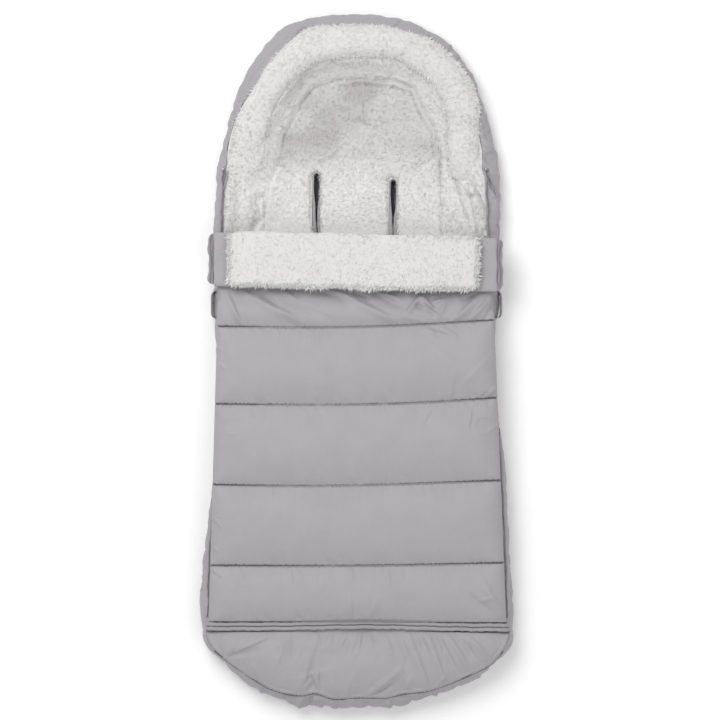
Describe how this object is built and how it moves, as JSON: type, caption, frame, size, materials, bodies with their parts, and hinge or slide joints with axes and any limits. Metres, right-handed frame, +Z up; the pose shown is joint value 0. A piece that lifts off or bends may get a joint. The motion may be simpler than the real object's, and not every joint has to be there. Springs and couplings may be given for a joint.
{
  "type": "stroller footmuff",
  "caption": "Quilted footmuff lying flat: padded back with a hood and sherpa lining, a channelled cover with a turned-back cuff, side zips and a foot zip.",
  "frame": {"origin": "middle of the footprint, on the surface that the footmuff lies on", "axes": "+Y from the foot end to the hood, +Z up out of the cover, +X to the right as seen from above"},
  "size_m": [0.452, 1, 0.0849],
  "materials": {
    "shell": "matte light grey woven polyester, softly wrinkled",
    "sherpa": "off-white curly sherpa pile",
    "batting": "white polyester wadding",
    "trim": "grey woven tape and binding",
    "mat": "dark dotted non-slip",
    "coil": "grey nylon zip coil",
    "metal": "grey coated metal",
    "elastic": "black covered elastic"
  },
  "bodies": {
    "back": {"back_batting": "batting", "back_lining": "sherpa", "back_shell": "shell", "crotch_slot_binding": "trim", "foot_lining": "sherpa", "foot_zip_stop_left": "metal", "foot_zip_stop_right": "metal", "foot_zip_upper_coil": "coil", "foot_zip_upper_welt": "shell", "grip_mat": "mat", "harness_slot_binding_left": "trim", "harness_slot_binding_right": "trim", "side_lining_left": "sherpa", "side_lining_right": "sherpa", "side_loop_left": "trim", "side_loop_right": "trim", "side_zip_bottom_stop_left": "metal", "side_zip_bottom_stop_right": "metal", "side_zip_coil_left": "coil", "side_zip_coil_right": "coil", "side_zip_tape_left": "trim", "side_zip_tape_right": "trim", "side_zip_top_stop_left": "metal", "side_zip_top_stop_right": "metal", "toe_lining": "sherpa", "toe_panel": "shell"},
    "hood": {"hood_shell": "shell", "hood_batting": "batting", "hood_lining": "sherpa", "hood_roll": "sherpa", "hood_elastic": "elastic"},
    "cover_1": {"cover_panel_1": "shell", "cover_lining_1": "sherpa"},
    "cover_2": {"cover_panel_2": "shell", "cover_lining_2": "sherpa"},
    "cover_3": {"cover_panel_3": "shell", "cover_lining_3": "sherpa", "cover_magnet_left": "metal", "cover_magnet_right": "metal"},
    "cover_4": {"cover_panel_4": "shell", "cover_lining_4": "sherpa"},
    "cover_5": {"cover_panel_5": "shell", "cover_lining_5": "sherpa"},
    "cuff": {"cuff_panel": "shell", "cuff_sherpa": "sherpa", "cuff_zip_tape_left": "trim", "cuff_zip_tape_right": "trim", "cuff_magnet_left": "metal", "cuff_magnet_right": "metal"},
    "foot_flap": {"foot_flap": "shell", "foot_flap_lining": "sherpa", "foot_zip_lower_welt": "shell", "foot_zip_lower_coil": "coil"},
    "side_slider_left": {"side_slider_left": "metal"},
    "side_slider_right": {"side_slider_right": "metal"},
    "zip_pull_left": {"zip_pull_left": "metal"},
    "zip_pull_right": {"zip_pull_right": "metal"},
    "foot_slider": {"foot_slider": "metal"}
  },
  "joints": [
    {"name": "cover_open", "type": "hinge", "parent": "back", "child": "cover_1", "pos_m": [0, -0.376, 0.066], "axis": [1, 0, 0], "range_deg": [0, 165]},
    {"name": "cover_roll_1", "type": "hinge", "parent": "cover_1", "child": "cover_2", "pos_m": [0, -0.29441, 0.066], "axis": [-0.9999, -0.0105, 0], "range_deg": [-60, 0]},
    {"name": "cover_roll_2", "type": "hinge", "parent": "cover_2", "child": "cover_3", "pos_m": [0, -0.17787, 0.066], "axis": [-0.9998, -0.0192, 0], "range_deg": [-60, 0]},
    {"name": "cover_roll_3", "type": "hinge", "parent": "cover_3", "child": "cover_4", "pos_m": [0, -0.06021, 0.066], "axis": [-0.9997, -0.0262, 0], "range_deg": [-60, 0]},
    {"name": "cover_roll_4", "type": "hinge", "parent": "cover_4", "child": "cover_5", "pos_m": [0, 0.05024, 0.066], "axis": [-0.9997, -0.0244, 0], "range_deg": [-60, 0]},
    {"name": "cuff_fold", "type": "hinge", "parent": "cover_5", "child": "cuff", "pos_m": [0, 0.179, 0.0663], "axis": [-0.9998, 0.0201, 0], "range_deg": [0, 165]},
    {"name": "foot_flap_open", "type": "hinge", "parent": "back", "child": "foot_flap", "pos_m": [0, -0.4201, 0.062], "axis": [-1, 0, 0], "range_deg": [-110, 0]},
    {"name": "hood_lift", "type": "hinge", "parent": "back", "child": "hood", "pos_m": [0, 0.2785, 0.0463], "axis": [1, 0, 0], "range_deg": [0, 30]},
    {"name": "side_zip_left", "type": "slide", "parent": "back", "child": "side_slider_left", "axis": [-0.0282, -0.9996, 0], "range_m": [-0.09, 0.486]},
    {"name": "side_zip_right", "type": "slide", "parent": "back", "child": "side_slider_right", "axis": [0.0404, -0.9992, 0], "range_m": [-0.09, 0.486]},
    {"name": "zip_pull_left_swing", "type": "hinge", "parent": "side_slider_left", "child": "zip_pull_left", "pos_m": [-0.20211, 0.17512, 0.0526], "axis": [0, 0, -1], "range_deg": [0, 170]},
    {"name": "zip_pull_right_swing", "type": "hinge", "parent": "side_slider_right", "child": "zip_pull_right", "pos_m": [0.19567, 0.16741, 0.0526], "axis": [0, 0, 1], "range_deg": [0, 170]},
    {"name": "foot_zip", "type": "slide", "parent": "back", "child": "foot_slider", "axis": [-1, 0, 0], "range_m": [0, 0.365]}
  ]
}
